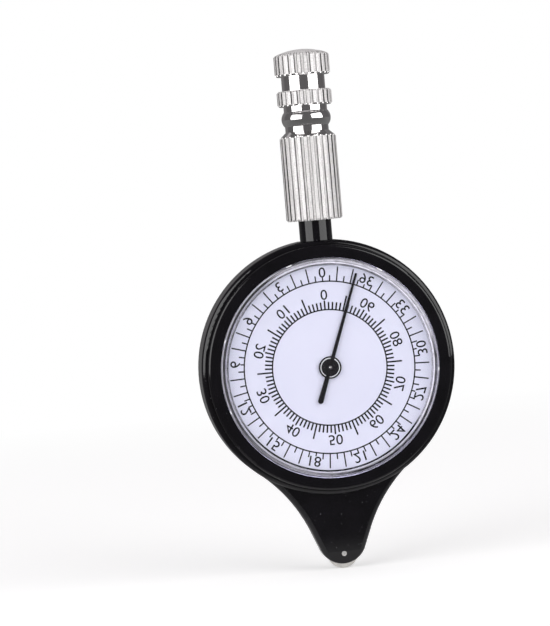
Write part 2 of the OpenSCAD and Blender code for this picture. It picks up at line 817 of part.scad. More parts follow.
module hand() {
    color(black) on_dial() difference() {
        union() {
            rotate(-hand_angle) translate([0, 0, hand_z]) linear_extrude(hand_t) {
                polygon([[-hand_w / 2, 0], [-hand_tip_w / 2, hand_l - hand_tip_w / 2],
                         [hand_tip_w / 2, hand_l - hand_tip_w / 2], [hand_w / 2, 0],
                         [tail_w / 2, tail_w / 2 - tail_l], [-tail_w / 2, tail_w / 2 - tail_l]]);
                translate([0, hand_l - hand_tip_w / 2]) circle(hand_tip_w / 2);
                translate([0, tail_w / 2 - tail_l]) circle(tail_w / 2);
            }
            disc(hub_d / 2, hand_z, hand_z + hand_t);
        }
        disc(pivot_d / 2, hand_z - cut, crystal_z);
    }
}

module hand_cap() {
    color([0.12, 0.11, 0.13]) on_dial()
        ring(cap_d / 2, pivot_d / 2, hand_z + hand_t, hand_z + hand_t + cap_t);
}

// ---- Stem and handle --------------------------------------------------------------------

// Turned about the handle's axis: a foot inside the case, a neck in its wall, the stem that
// shows and the threaded end inside the handle
module stem() {
    foot_z = dial_z + sqrt(pow(cavity_r, 2) - pow(stem_foot_d / 2, 2)) - stem_foot_t;
    color(black) {
        translate([0, 0, foot_z]) cylinder(d = stem_foot_d, h = stem_foot_t);
        translate([0, 0, foot_z]) cylinder(d = stem_neck_d, h = seat_z - foot_z);
        translate([0, 0, seat_z]) cylinder(d = stem_d, h = stem_l);
        translate([0, 0, grip_z]) cylinder(d = stem_thread_d, h = stem_thread_l);
    }
}

// Half section of a fluted band with bevelled ends
module band_section(d, z0, h) {
    r = d / 2;
    translate([0, z0]) polygon([
        [0, 0], [r - flute_bevel, 0], [r, flute_bevel],
        [r, h - flute_bevel], [r - flute_bevel, h], [0, h]]);
}

// Cutters for the flutes of one band
module flute_cutters(d, z0, h) {
    around([for (i = [0 : flutes - 1]) 360 * i / flutes], d / 2 + flute_r - flute_depth)
        translate([0, 0, z0 - cut]) cylinder(r = flute_r, h = h + 2 * cut, $fn = 32);
}

module handle() {
    bead_rise = (bead_d - neck_d) / 2;
    bead_r = (pow(bead_h / 2, 2) + pow(bead_rise, 2)) / (2 * bead_rise);
    dome_edge = head_d / 2 - flute_depth - fit;
    dome_r = (pow(dome_edge, 2) + pow(dome_h, 2)) / (2 * dome_h);
    color(nickel) difference() {
        rotate_extrude() {
            polygon([[0, grip_z], [grip_d / 2 - flute_bevel, grip_z],
                     [grip_d / 2, grip_z + flute_bevel], [grip_d / 2, cone_z],
                     [neck_d / 2, low_neck_z], [neck_d / 2, dome_z], [0, dome_z]]);
            intersection() {
                translate([bead_d / 2 - bead_r, bead_z + bead_h / 2]) circle(bead_r);
                translate([0, bead_z]) square([bead_d, bead_h]);
            }
            band_section(ring_d, ring_z, ring_h);
            band_section(head_d, head_z, head_h);
            intersection() {
                translate([0, dome_z + dome_h - dome_r]) circle(dome_r);
                translate([0, dome_z]) square([head_d, dome_h]);
            }
        }
        flute_cutters(grip_d, grip_z, grip_l);
        flute_cutters(ring_d, ring_z, ring_h);
        flute_cutters(head_d, head_z, head_h);
        translate([0, 0, grip_z - cut]) cylinder(d = stem_thread_d, h = stem_thread_l + 2 * cut);
    }
}

front_case();
rear_case();
case_screws();
bezel();
crystal();
dial();
movement_plate();
plate_screws();
bridge();
bridge_pillars();
bridge_screws();
centre_bush();
tension_washer();
wheel_axle();
first_arbor();
second_arbor();
tracing_wheel();
wheel_pinion();
first_gear();
first_pinion();
second_gear();
second_pinion();
centre_gear();
centre_arbor();
hand();
hand_cap();
stem();
handle();
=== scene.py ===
"""Looks of an opisometer map measurer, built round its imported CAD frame.

Frame: metres, +Z up the handle, the dial faces -Y and the wheel touches the floor at the origin.
Dial coordinates, used for the print and the small pieces on it, are x to the reader's right and
y up from the dial's centre, in millimetres, and depth towards the reader.
"""

import math

import bmesh
import bpy
from mathutils import Matrix, Vector


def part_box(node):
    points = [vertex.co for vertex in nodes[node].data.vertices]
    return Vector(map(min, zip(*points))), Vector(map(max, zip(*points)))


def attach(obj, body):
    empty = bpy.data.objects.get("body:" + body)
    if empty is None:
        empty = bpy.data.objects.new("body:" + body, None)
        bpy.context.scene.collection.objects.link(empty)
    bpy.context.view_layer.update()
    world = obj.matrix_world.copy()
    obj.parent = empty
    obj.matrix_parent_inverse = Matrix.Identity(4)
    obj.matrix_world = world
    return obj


MM = 0.001
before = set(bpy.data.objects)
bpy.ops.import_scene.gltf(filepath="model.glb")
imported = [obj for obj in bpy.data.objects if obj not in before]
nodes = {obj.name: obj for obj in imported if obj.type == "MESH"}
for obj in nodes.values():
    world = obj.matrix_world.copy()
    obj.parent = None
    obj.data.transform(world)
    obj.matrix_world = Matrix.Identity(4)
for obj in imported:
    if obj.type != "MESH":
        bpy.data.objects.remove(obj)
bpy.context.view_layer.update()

# ---- Sizes read from the frame ---------------------------------------------------------------

dial_low, dial_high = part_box("dial")
DIAL_FRONT = dial_low.y
DIAL_Z = (dial_low.z + dial_high.z) / 2
handle_low, handle_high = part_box("handle")
GRIP_END = handle_low.z
HANDLE_TOP = handle_high.z

# ---- Print on the dial, in millimetres --------------------------------------------------------

PRINT_TURN = -1          # the figures run anticlockwise and are mirror-written; 1 for clockwise
PRINT_T = 0.012          # thickness of the ink
LINE_W = 0.22
INNER_TICK_W = 0.27
OUTER_R = 14.45
OUTER_UNITS = 39
OUTER_WHOLE_R = 16.93
OUTER_HALF_R = 15.45
OUTER_NUMBERED_R = 15.10
OUTER_FIGURE_R = 15.95
OUTER_STEP = 3
INNER_R = 9.70
INNER_UNITS = 100
INNER_UNIT_R = 10.98
INNER_TEN_R = 11.25
INNER_FIVE_R = 12.3
INNER_FIGURE_R = 12.2
INNER_STEP = 10
FIGURE_H = 1.72
FIGURE_NARROW = 1.05     # width of the figures beside the built-in font's
FIGURE_BOLD = 0.005      # how far their strokes grow, as a share of the font's size
FIGURE_CURVE_STEPS = 4

# ---- Small pieces round the hand and on the crystal, in millimetres ----------------------------

HAND_TURN_DEG = 20.4     # where the hand stands at rest, clockwise from the top
HUB_TOP = 0.35
COLLAR_IN = 1.49
COLLAR_OUT = 1.64
COLLAR_T = 0.06
COLLAR_GAP_DEG = 12
COLLAR_STEPS = 48
ARBOR_TOP = 0.50
PIP_R = 0.17
PIP_TOP_R = 0.4 * PIP_R
PIP_T = 0.05
PIP_SIDES = 24
CRYSTAL_TOP = 1.2
CRYSTAL_UNDER = 0.65
BEVEL_START = 18.16      # the crystal's front edge is bevelled from this radius outwards
# Thin rings of painted shade and painted highlights for the crystal's edge
EDGE_RING = (17.16, 17.47)
LIGHT_RING = (17.48, 17.69)
MIDDLE_RING = (17.76, 18.14)
BEVEL_RING = (18.20, 18.42)
RING_T = 0.02
RING_STEPS = 240
LUG_IN = 18.26
LUG_OUT = 18.44
LUG_DEEP = 0.12          # how far the lugs reach down from the crystal's top
LUG_PROUD = 0.02         # and how far they stand up from it
LUG_STEPS = 6
# Where each lug stands, in degrees clockwise from the top, and its length
LUGS = ((-17.8, 1.0), (31.5, 1.0), (95.8, 0.6), (-71.1, 0.6), (-108.8, 0.6))


def new_object(name, mesh, body, mat):
    """Links a piece of one material and makes it ride on its CAD body."""
    obj = bpy.data.objects.new(name, mesh)
    bpy.context.scene.collection.objects.link(obj)
    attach(obj, body)
    mesh.materials.append(mat)


def on_dial(x, y, depth=0.0):
    """A point in the frame from dial coordinates in millimetres."""
    return Vector((x * MM, DIAL_FRONT - depth * MM, DIAL_Z + y * MM))


def on_circle(radius, angle):
    """Dial coordinates x and y at an angle in radians, clockwise from the top."""
    return radius * math.sin(angle), radius * math.cos(angle)


def arc_outline(r_in, r_out, angles):
    """The outline of a piece of a flat ring over the given angles."""
    return [on_circle(r_in, a) for a in angles] + [on_circle(r_out, a) for a in angles[::-1]]


def mesh_from(name, bm):
    """Turns a bmesh into a mesh with outward normals."""
    bmesh.ops.recalc_face_normals(bm, faces=bm.faces)
    mesh = bpy.data.meshes.new(name)
    bm.to_mesh(mesh)
    bm.free()
    return mesh


def add_prism(bm, outline, depth_low, depth_high):
    """A closed prism on the dial over an outline of (x, y) points in millimetres."""
    low = [bm.verts.new(on_dial(x, y, depth_low)) for x, y in outline]
    high = [bm.verts.new(on_dial(x, y, depth_high)) for x, y in outline]
    bm.faces.new(low)
    bm.faces.new(high[::-1])
    for i in range(len(low)):
        j = (i + 1) % len(low)
        bm.faces.new((low[j], low[i], high[i], high[j]))


def add_ring(bm, r_in, r_out, depth_low, depth_high, drop=0.0):
    """A closed ring round the dial's centre; drop is how much lower its outer edge lies."""
    angles = [2 * math.pi * i / RING_STEPS for i in range(RING_STEPS)]
    corners = ((r_in, depth_low), (r_out, depth_low - drop),
               (r_out, depth_high - drop), (r_in, depth_high))
    rows = [[bm.verts.new(on_dial(*on_circle(r, a), depth)) for a in angles]
            for r, depth in corners]
    for k in range(len(rows)):
        a, b = rows[k], rows[(k + 1) % len(rows)]
        for i in range(RING_STEPS):
            j = (i + 1) % RING_STEPS
            bm.faces.new((a[i], a[j], b[j], b[i]))


def add_tick(bm, turn, r_in, r_out, width):
    """A radial line; turn is its place as a share of the circle in the direction of the scale."""
    a = 2 * math.pi * turn * PRINT_TURN
    along = Vector((math.sin(a), math.cos(a)))
    side = Vector((math.cos(a), -math.sin(a))) * (width / 2)
    corners = [along * r_in - side, along * r_out - side, along * r_out + side, along * r_in + side]
    add_prism(bm, [tuple(c) for c in corners], 0, PRINT_T)


def add_figure(bm, text, turn, radius):
    """A number set radially on the dial, its top outwards, in the built-in font."""
    curve = bpy.data.curves.new("figure", "FONT")
    curve.body = text
    curve.align_x = "CENTER"
    curve.align_y = "CENTER"
    curve.size = 1.0
    curve.extrude = 0.5      # only tells front from back, which get the ink's own depths below
    curve.resolution_u = FIGURE_CURVE_STEPS
    curve.bevel_depth = FIGURE_BOLD
    curve.bevel_resolution = 0
    obj = bpy.data.objects.new("figure", curve)
    bpy.context.scene.collection.objects.link(obj)
    bpy.context.view_layer.update()
    mesh = obj.evaluated_get(bpy.context.evaluated_depsgraph_get()).to_mesh()
    xs = [v.co.x for v in mesh.vertices]
    ys = [v.co.y for v in mesh.vertices]
    mid = Vector(((min(xs) + max(xs)) / 2, (min(ys) + max(ys)) / 2, 0))
    scale = FIGURE_H / (max(ys) - min(ys))
    a = 2 * math.pi * turn * PRINT_TURN
    made = []
    for v in mesh.vertices:
        p = (v.co - mid) * scale
        x, y = p.x * PRINT_TURN * FIGURE_NARROW, p.y + radius
        depth = PRINT_T if v.co.z > 0 else 0
        made.append(bm.verts.new(on_dial(
            x * math.cos(a) + y * math.sin(a), y * math.cos(a) - x * math.sin(a), depth)))
    for face in mesh.polygons:
        bm.faces.new([made[i] for i in face.vertices])
    bpy.data.objects.remove(obj)
    bpy.data.curves.remove(curve)


def outer_scale():
    """39 units, each halved, numbered in threes."""
    bm = bmesh.new()
    add_ring(bm, OUTER_R - LINE_W / 2, OUTER_R + LINE_W / 2, 0, PRINT_T)
    for i in range(2 * OUTER_UNITS):
        top = OUTER_HALF_R
        if i % (2 * OUTER_STEP) == 0:
            top = OUTER_NUMBERED_R
        elif i % 2 == 0:
            top = OUTER_WHOLE_R
        add_tick(bm, i / (2 * OUTER_UNITS), OUTER_R, top, LINE_W)
    return mesh_from("outer_scale", bm)


def inner_scale():
    """100 units, longer at each five, numbered in tens."""
    bm = bmesh.new()
    add_ring(bm, INNER_R - LINE_W / 2, INNER_R + LINE_W / 2, 0, PRINT_T)
    for i in range(INNER_UNITS):
        top = INNER_UNIT_R
        if i % INNER_STEP == 0:
            top = INNER_TEN_R
        elif i % INNER_STEP == INNER_STEP // 2:
            top = INNER_FIVE_R
        add_tick(bm, i / INNER_UNITS, INNER_R, top, INNER_TICK_W)
    return mesh_from("inner_scale", bm)


def figures():
    """The numbers of both scales."""
    bm = bmesh.new()
    for n in range(0, OUTER_UNITS, OUTER_STEP):
        add_figure(bm, str(n), n / OUTER_UNITS, OUTER_FIGURE_R)
    for n in range(0, INNER_UNITS, INNER_STEP):
        add_figure(bm, str(n), n / INNER_UNITS, INNER_FIGURE_R)
    return mesh_from("figures", bm)


def hub_collar():
    """The collar on the hub, in two arcs that leave the blade's width free; its white is a painted
    highlight.
    """
    bm = bmesh.new()
    for side in (0, 180):
        start = math.radians(HAND_TURN_DEG + side + COLLAR_GAP_DEG)
        sweep = math.radians(180 - 2 * COLLAR_GAP_DEG)
        angles = [start + sweep * i / COLLAR_STEPS for i in range(COLLAR_STEPS + 1)]
        add_prism(bm, arc_outline(COLLAR_IN, COLLAR_OUT, angles), HUB_TOP, HUB_TOP + COLLAR_T)
    return mesh_from("hub_collar", bm)


def centre_pip():
    """The turned pip left in the middle of the centre arbor's end."""
    bm = bmesh.new()
    bmesh.ops.create_cone(bm, cap_ends=True, segments=PIP_SIDES, radius1=PIP_R * MM,
                          radius2=PIP_TOP_R * MM, depth=PIP_T * MM)
    turn = Matrix.Rotation(math.radians(90), 4, "X")
    place = Matrix.Translation(on_dial(0, 0, ARBOR_TOP + PIP_T / 2))
    bmesh.ops.transform(bm, matrix=place @ turn, verts=bm.verts)
    return mesh_from("centre_pip", bm)


def crystal_lugs():
    """Small moulded lugs on the crystal's rim, each along its own piece of the circle; their white
    is a painted glint.
    """
    bm = bmesh.new()
    for turn_deg, length in LUGS:
        half = length / LUG_OUT / 2
        mid = math.radians(turn_deg)
        angles = [mid - half + 2 * half * i / LUG_STEPS for i in range(LUG_STEPS + 1)]
        add_prism(bm, arc_outline(LUG_IN, LUG_OUT, angles),
                  CRYSTAL_TOP - LUG_DEEP, CRYSTAL_TOP + LUG_PROUD)
    return mesh_from("crystal_lugs", bm)


def crystal_ring(name, radii, top, drop):
    """One of the fine rings of painted shade and painted highlights that stand in for the crystal's
    moulded edge.
    """
    bm = bmesh.new()
    add_ring(bm, *radii, top - RING_T, top, drop)
    return mesh_from(name, bm)


# ---- Colours and levels of the materials -------------------------------------------------------

BLACK_LOW = (0.0016, 0.0013, 0.0022)
BLACK_HIGH = (0.0036, 0.0030, 0.0046)
DUST = (0.12, 0.12, 0.13)
CASE_ROUGH = 0.10
STEM_ROUGH = 0.07
INK_LOW = (0.002, 0.002, 0.003)
INK_HIGH = (0.006, 0.006, 0.008)
HAND_LOW = (0.003, 0.003, 0.004)
HAND_HIGH = (0.009, 0.007, 0.010)
# painted highlight white of the hub's collar and the crystal's lugs
PAINTED_HIGHLIGHT_LOW = (0.80, 0.80, 0.83)
PAINTED_HIGHLIGHT_HIGH = (0.95, 0.95, 0.97)
CRYSTAL_TINT = (0.985, 0.99, 1, 1)
CRYSTAL_SHADOW = (0.97, 0.975, 0.99, 1)    # tint of the light that goes straight through

ENAMEL_LOW = (0.825, 0.818, 0.965)
ENAMEL_HIGH = (0.85, 0.842, 0.985)
RIM_IN = 17.42           # from here to RIM_OUT the dial is seen through the crystal's skirt
RIM_OUT = 18.5
# tint of the painted rim bands and of the crystal's painted rings
PAINTED_RIM_TINT = (0.97, 0.95, 1.06)
RIM_WANDER = 0.22        # how far the painted bands under the skirt wander in and out, in millimetres
# Painted shade and painted highlights in bands under the skirt: place from RIM_IN to RIM_OUT, how
# light
RIM_PAINTED_LIGHT_BANDS = (
    (0.0, 1.0), (0.24, 1.0), (0.31, 0.18), (0.37, 0.16), (0.43, 0.50), (0.60, 0.55), (0.65, 0.22),
    (0.70, 1.4), (0.77, 1.4), (0.81, 0.5), (0.88, 0.5), (0.92, 1.5), (1.0, 1.3))
# The crystal's rings of painted shade and painted highlights: share of a turn clockwise from the
# top, how light, how dense
EDGE_SHADES = ((0.0, 0.08, 0.5), (0.09, 0.08, 0.45), (0.14, 0.3, 0.25), (0.34, 0.3, 0.15),
               (0.36, 0.01, 1.0), (0.65, 0.01, 0.95), (0.67, 0.08, 0.6), (0.96, 0.08, 0.6))
LIGHT_SHADES = ((0.0, 0.9, 0.6), (0.34, 0.9, 0.8), (0.38, 0.7, 0.5), (0.64, 0.6, 0.4),
                (0.74, 0.4, 0.4), (0.90, 0.4, 0.4), (0.94, 0.9, 0.5))
MIDDLE_SHADES = ((0.0, 0.7, 0.5), (0.20, 0.7, 0.5), (0.24, 0.06, 0.5), (0.47, 0.03, 0.85),
                 (0.56, 0.4, 0.4), (0.67, 0.06, 0.6), (0.91, 0.04, 0.8), (0.94, 0.6, 0.4))
BEVEL_SHADES = ((0.0, 0.3, 0.4), (0.12, 0.9, 0.7), (0.33, 1.0, 0.95), (0.38, 0.3, 0.45),
                (0.62, 0.3, 0.45), (0.70, 0.9, 0.8), (0.91, 1.0, 1.0), (0.95, 0.3, 0.4))

POLISHED = (0.84, 0.82, 0.82)
SATIN_LOW = (0.66, 0.64, 0.64)
SATIN_HIGH = (0.99, 0.97, 0.965)
SATIN_METALLIC = 0.5
# The fluted bands' ends, in millimetres above the grip's end; the satin also covers the dome
FLUTED = ((-0.5, 13.95), (19.25, 21.85), (24.30, 27.90))
FLUTES = 26
# Painted shade along the flutes' grooves, across half a flute: place, how light
FLUTE_GROOVE_SHADE = ((0.0, 1.0), (0.24, 0.9), (0.33, 0.05), (0.47, 0.05), (0.54, 1.0))

# Machined metals: colour, colour of the streaks, lowest and highest roughness, stretch of the
# streaks along x, y and z, and their repeats per millimetre
METALS = {
    "steel": ((0.62, 0.63, 0.66), (0.50, 0.51, 0.54), 0.22, 0.34, (1, 1, 1), 4),
    "blued_steel": ((0.09, 0.085, 0.10), (0.05, 0.045, 0.055), 0.3, 0.45, (1, 1, 1), 6),
    "bright_nickel": ((0.86, 0.85, 0.83), (0.80, 0.79, 0.77), 0.10, 0.2, (4, 4, 0.15), 2),
    "wheel_metal": ((0.88, 0.86, 0.82), (0.80, 0.78, 0.74), 0.12, 0.25, (1, 4, 1), 2),
    "train_brass": ((0.78, 0.60, 0.30), (0.66, 0.48, 0.22), 0.2, 0.34, (1, 1, 1), 3),
    "plate_brass": ((0.74, 0.58, 0.32), (0.64, 0.48, 0.24), 0.28, 0.42, (0.3, 1, 4), 2),
}

# ---- Materials --------------------------------------------------------------------------------


def map_range(tree, value, at_low, at_high, low, high):
    """Maps a value of a node tree from one range to another, and holds it inside."""
    n = tree.nodes.new("ShaderNodeMapRange")
    n.inputs["From Min"].default_value = at_low
    n.inputs["From Max"].default_value = at_high
    n.inputs["To Min"].default_value = low
    n.inputs["To Max"].default_value = high
    tree.links.new(value, n.inputs["Value"])
    return n.outputs["Result"]


class Shader:
    """A small helper round one material's node tree."""

    def __init__(self, name):
        self.mat = bpy.data.materials.new(name)
        self.mat.use_nodes = True
        self.tree = self.mat.node_tree
        self.bsdf = self.tree.nodes["Principled BSDF"]
        self.coords = self.node("ShaderNodeTexCoord").outputs["Object"]

    def node(self, kind, **values):
        n = self.tree.nodes.new(kind)
        for key, value in values.items():
            setattr(n, key, value)
        return n

    def link(self, a, b):
        self.tree.links.new(a, b)

    def put(self, **values):
        """Sets the Principled shader's own sockets; underscores stand for spaces."""
        for key, value in values.items():
            self.bsdf.inputs[key.replace("_", " ")].default_value = value

    def colour(self, value):
        self.link(value, self.bsdf.inputs["Base Color"])

    def roughness(self, value):
        self.link(value, self.bsdf.inputs["Roughness"])

    def bump(self, height, distance_mm):
        n = self.node("ShaderNodeBump")
        n.inputs["Distance"].default_value = distance_mm * MM
        n.inputs["Strength"].default_value = 1.0
        self.link(height, n.inputs["Height"])
        self.link(n.outputs["Normal"], self.bsdf.inputs["Normal"])

    def blend_out(self, fac, other):
        """Sends the Principled shader and another one, mixed, to the output."""
        n = self.node("ShaderNodeMixShader")
        self.link(fac, n.inputs["Fac"])
        self.link(self.bsdf.outputs["BSDF"], n.inputs[1])
        self.link(other, n.inputs[2])
        self.link(n.outputs["Shader"], self.tree.nodes["Material Output"].inputs["Surface"])

    def ray(self, kind):
        """1 for rays of one kind, such as Camera or Glossy, and 0 for all others."""
        return self.node("ShaderNodeLightPath").outputs["Is %s Ray" % kind]

    def split(self):
        """The object's coordinates, one by one."""
        n = self.node("ShaderNodeSeparateXYZ")
        self.link(self.coords, n.inputs["Vector"])
        return n.outputs

    def placed(self, location=(0, 0, 0), scale=(1, 1, 1)):
        """The object's coordinates, scaled and then moved."""
        n = self.node("ShaderNodeMapping")
        n.inputs["Location"].default_value = location
        n.inputs["Scale"].default_value = scale
        self.link(self.coords, n.inputs["Vector"])
        return n.outputs["Vector"]

    def vector_math(self, operation, a, b=None):
        """One Vector Math node; b is a socket, three numbers or left out."""
        n = self.node("ShaderNodeVectorMath", operation=operation)
        self.link(a, n.inputs[0])
        if isinstance(b, tuple):
            n.inputs[1].default_value = b
        elif b is not None:
            self.link(b, n.inputs[1])
        return n.outputs["Value" if operation == "LENGTH" else "Vector"]

    def math(self, operation, *values):
        """One Math node; the values are sockets or numbers."""
        n = self.node("ShaderNodeMath", operation=operation)
        for socket, value in zip(n.inputs, values):
            if isinstance(value, (int, float)):
                socket.default_value = value
            else:
                self.link(value, socket)
        return n.outputs["Value"]

    def texture(self, vector, scale, detail):
        n = self.node("ShaderNodeTexNoise")
        n.inputs["Scale"].default_value = scale
        n.inputs["Detail"].default_value = detail
        self.link(vector, n.inputs["Vector"])
        return n.outputs["Fac"]

    def noise(self, scale, detail, stretch=(1, 1, 1)):
        """Noise over the object, scale in repeats per millimetre."""
        return self.texture(self.placed(scale=[s / MM for s in stretch]), scale, detail)

    def polar_noise(self, radius, around, across):
        """Noise drawn out along circles round the dial's axis."""
        flat = self.vector_math("MULTIPLY", self.placed((0, 0, -DIAL_Z)), (1, 0, 1))
        turned = self.node("ShaderNodeVectorMath", operation="SCALE")
        turned.inputs["Scale"].default_value = around
        self.link(self.vector_math("NORMALIZE", flat), turned.inputs[0])
        out = self.node("ShaderNodeCombineXYZ")
        self.link(self.math("MULTIPLY", radius, across), out.inputs["Y"])
        both = self.vector_math("ADD", turned.outputs["Vector"], out.outputs["Vector"])
        return self.texture(both, 1.0, 4.0)

    def between(self, fac, low, high, at_low=0.3, at_high=0.7):
        """Maps a field to a range; noise seldom leaves 0.3 to 0.7."""
        return map_range(self.tree, fac, at_low, at_high, low, high)

    def radius(self):
        """Distance from the dial's axis, in millimetres."""
        return self.vector_math("LENGTH", self.placed((0, 0, -DIAL_Z / MM), (1 / MM, 0, 1 / MM)))

    def turn(self):
        """Share of a turn round the dial's axis, clockwise from the top for the reader."""
        x, _, z = self.split()
        angle = self.math("ARCTAN2", x, self.math("SUBTRACT", z, DIAL_Z))
        return self.math("FRACT", self.math("ADD", self.math("DIVIDE", angle, math.tau), 1.0))

    def ramp(self, fac, stops, interpolation="LINEAR"):
        """A ramp of greys over (place, level) stops."""
        n = self.node("ShaderNodeValToRGB")
        n.color_ramp.interpolation = interpolation
        elements = n.color_ramp.elements
        while len(elements) < len(stops):
            elements.new(1.0)
        for element, (place, level) in zip(elements, stops):
            element.position = place
            element.color = (level, level, level, 1)
        self.link(fac, n.inputs["Fac"])
        return n.outputs["Color"]

    def mix(self, fac, a, b, blend="MIX"):
        """Mixes two colours; each is a socket or three numbers."""
        n = self.node("ShaderNodeMix", data_type="RGBA", blend_type=blend)
        self.link(fac, n.inputs["Factor"])
        for socket, value in ((n.inputs["A"], a), (n.inputs["B"], b)):
            if isinstance(value, tuple):
                socket.default_value = (*value, 1)
            else:
                self.link(value, socket)
        return n.outputs["Result"]

    def mottle(self, low, high, scale, detail):
        """Noise between two colours."""
        return self.mix(self.between(self.noise(scale, detail), 0, 1), low, high)


def gloss_black(name, rough):
    """Polished black moulding with a faint swirl and a few specks of dust."""
    s = Shader(name)
    s.put(Specular_IOR_Level=0.5, IOR=1.5)
    swirl = s.mottle(BLACK_LOW, BLACK_HIGH, 0.35, 4)
    dust = s.between(s.noise(4.5, 0), 0, 1, 0.84, 0.90)
    s.colour(s.mix(dust, swirl, DUST))
    s.roughness(s.between(s.noise(2.2, 5), rough * 0.75, rough * 1.35))
    s.bump(s.noise(0.5, 2), 0.0012)
    return s.mat


def enamel():
    """Satin white dial enamel, with streaky rings of painted shade and painted highlights under the
    crystal's skirt, standing in for the skirt's refraction and the bezel's shadow.
    """
    s = Shader("dial_white")
    s.put(Specular_IOR_Level=0.35)
    white = s.mottle(ENAMEL_LOW, ENAMEL_HIGH, 0.15, 3)
    radius = s.radius()
    streak = s.polar_noise(radius, 7, 5)
    wander = s.math("MULTIPLY", s.math("SUBTRACT", streak, 0.5), RIM_WANDER)
    place = s.between(s.math("ADD", radius, wander), 0, 1, RIM_IN, RIM_OUT)
    # painted shade and painted highlights in bands under the skirt, some lighter than white
    level = s.math("MULTIPLY", s.ramp(place, RIM_PAINTED_LIGHT_BANDS), s.between(streak, 0.72, 1.25))
    outside = s.math("GREATER_THAN", radius, RIM_IN)
    s.colour(s.mix(outside, white, s.vector_math("MULTIPLY", level, PAINTED_RIM_TINT)))
    s.roughness(s.between(s.noise(6, 2), 0.42, 0.52))
    s.bump(s.noise(8, 2), 0.002)
    return s.mat


def ink():
    """Black ink of the dial's print."""
    s = Shader("ink_black")
    s.put(Roughness=0.55, Specular_IOR_Level=0.2)
    s.colour(s.mottle(INK_LOW, INK_HIGH, 5, 3))
    return s.mat


def clear_crystal():
    """Clear moulding that lets the lamps through to the dial."""
    s = Shader("crystal_clear")
    s.put(Base_Color=CRYSTAL_TINT, Transmission_Weight=1.0, IOR=1.46)
    s.roughness(s.between(s.noise(3, 2), 0.0, 0.012))
    clear = s.node("ShaderNodeBsdfTransparent")
    clear.inputs["Color"].default_value = CRYSTAL_SHADOW
    s.blend_out(s.ray("Shadow"), clear.outputs["BSDF"])
    return s.mat


def bright_white():
    """Painted highlight white for the hub's collar and painted glints on the crystal's lugs."""
    s = Shader("bright_white")
    s.put(Specular_IOR_Level=0.6)
    s.colour(s.mottle(PAINTED_HIGHLIGHT_LOW, PAINTED_HIGHLIGHT_HIGH, 4, 3))
    s.roughness(s.between(s.noise(6, 2), 0.2, 0.4))
    return s.mat


def ring_shade(name, shades):
    """Painted shade and painted highlights of the crystal's edge on a ring, lighter, darker or
    clearer round the circle; no shadow.
    """
    s = Shader(name)
    s.put(Roughness=0.35, Specular_IOR_Level=0.2)
    turn = s.turn()
    light = s.ramp(turn, [(at, light) for at, light, _ in shades])
    s.colour(s.vector_math("MULTIPLY", light, PAINTED_RIM_TINT))
    dense = s.ramp(turn, [(at, dense) for at, _, dense in shades])
    streak = s.between(s.polar_noise(s.radius(), 16, 5), 0.45, 1.4)
    seen = s.math("SUBTRACT", 1.0, s.ray("Shadow"))
    s.link(s.math("MULTIPLY", s.math("MULTIPLY", dense, streak), seen), s.bsdf.inputs["Alpha"])
    return s.mat


def hand_paint():
    """Satin black paint of the hand and its cap."""
    s = Shader("hand_black")
    s.put(Specular_IOR_Level=0.35)
    s.colour(s.mottle(HAND_LOW, HAND_HIGH, 3, 3))
    s.roughness(s.between(s.noise(9, 3), 0.2, 0.32))
    s.bump(s.noise(6, 3), 0.004)
    return s.mat


def metal(name, colour, dark, rough_low, rough_high, stretch, scale):
    """Machined metal with streaks along one direction."""
    s = Shader(name)
    s.put(Metallic=1.0)
    streak = s.noise(scale, 4, stretch)
    s.colour(s.mix(s.between(streak, 0, 1), dark, colour))
    s.roughness(s.between(streak, rough_high, rough_low))
    s.bump(streak, 0.003)
    return s.mat


def handle_nickel():
    """Nickel plate: satin with an upright grain on fluted bands and dome, polished elsewhere;
    painted shade darkens the flutes' grooves.
    """
    s = Shader("handle_nickel")
    x, y, z = s.split()
    height = s.math("DIVIDE", z, HANDLE_TOP)
    stops = [(0.0, 0.0)]
    for low, high in FLUTED:
        stops += [((GRIP_END + low * MM) / HANDLE_TOP, 1.0),
                  ((GRIP_END + high * MM) / HANDLE_TOP, 0.0)]
    groove_shade_mask = s.ramp(height, stops, "CONSTANT")
    satin = s.ramp(height, stops[:-1], "CONSTANT")

    grain = s.noise(3, 4, (3, 3, 0.12))
    speckle = s.noise(7, 2)
    both = s.math("ADD", s.math("MULTIPLY", grain, 0.5), s.math("MULTIPLY", speckle, 0.5))
    ridges = s.mix(s.between(both, 0, 1, 0.4, 0.6), SATIN_LOW, SATIN_HIGH)

    # painted shade along each flute's groove, by the angle round the handle
    turn = s.math("ARCTAN2", y, x)
    pitch = s.math("ADD", s.math("MULTIPLY", turn, FLUTES / math.tau), FLUTES + 0.5)
    aside = s.math("ABSOLUTE", s.math("SUBTRACT", s.math("FRACT", pitch), 0.5))
    across = s.ramp(s.math("MULTIPLY", aside, 2), FLUTE_GROOVE_SHADE)
    uneven = s.between(s.noise(1.1, 2, (1, 1, 0.03)), 0.45, 1.0, 0.35, 0.6)
    groove_shaded_ridges = s.mix(s.math("MULTIPLY", groove_shade_mask, uneven), ridges, across, "MULTIPLY")

    s.colour(s.mix(satin, POLISHED, groove_shaded_ridges))
    s.link(s.between(satin, 1.0, SATIN_METALLIC, 0, 1), s.bsdf.inputs["Metallic"])
    smear = s.between(s.noise(0.8, 3), 0.05, 0.10)
    s.roughness(s.mix(satin, smear, s.between(grain, 0.48, 0.62)))
    s.bump(s.math("MULTIPLY", satin, grain), 0.006)
    return s.mat


# ---- Stage, lights and camera, in metres unless named otherwise --------------------------------

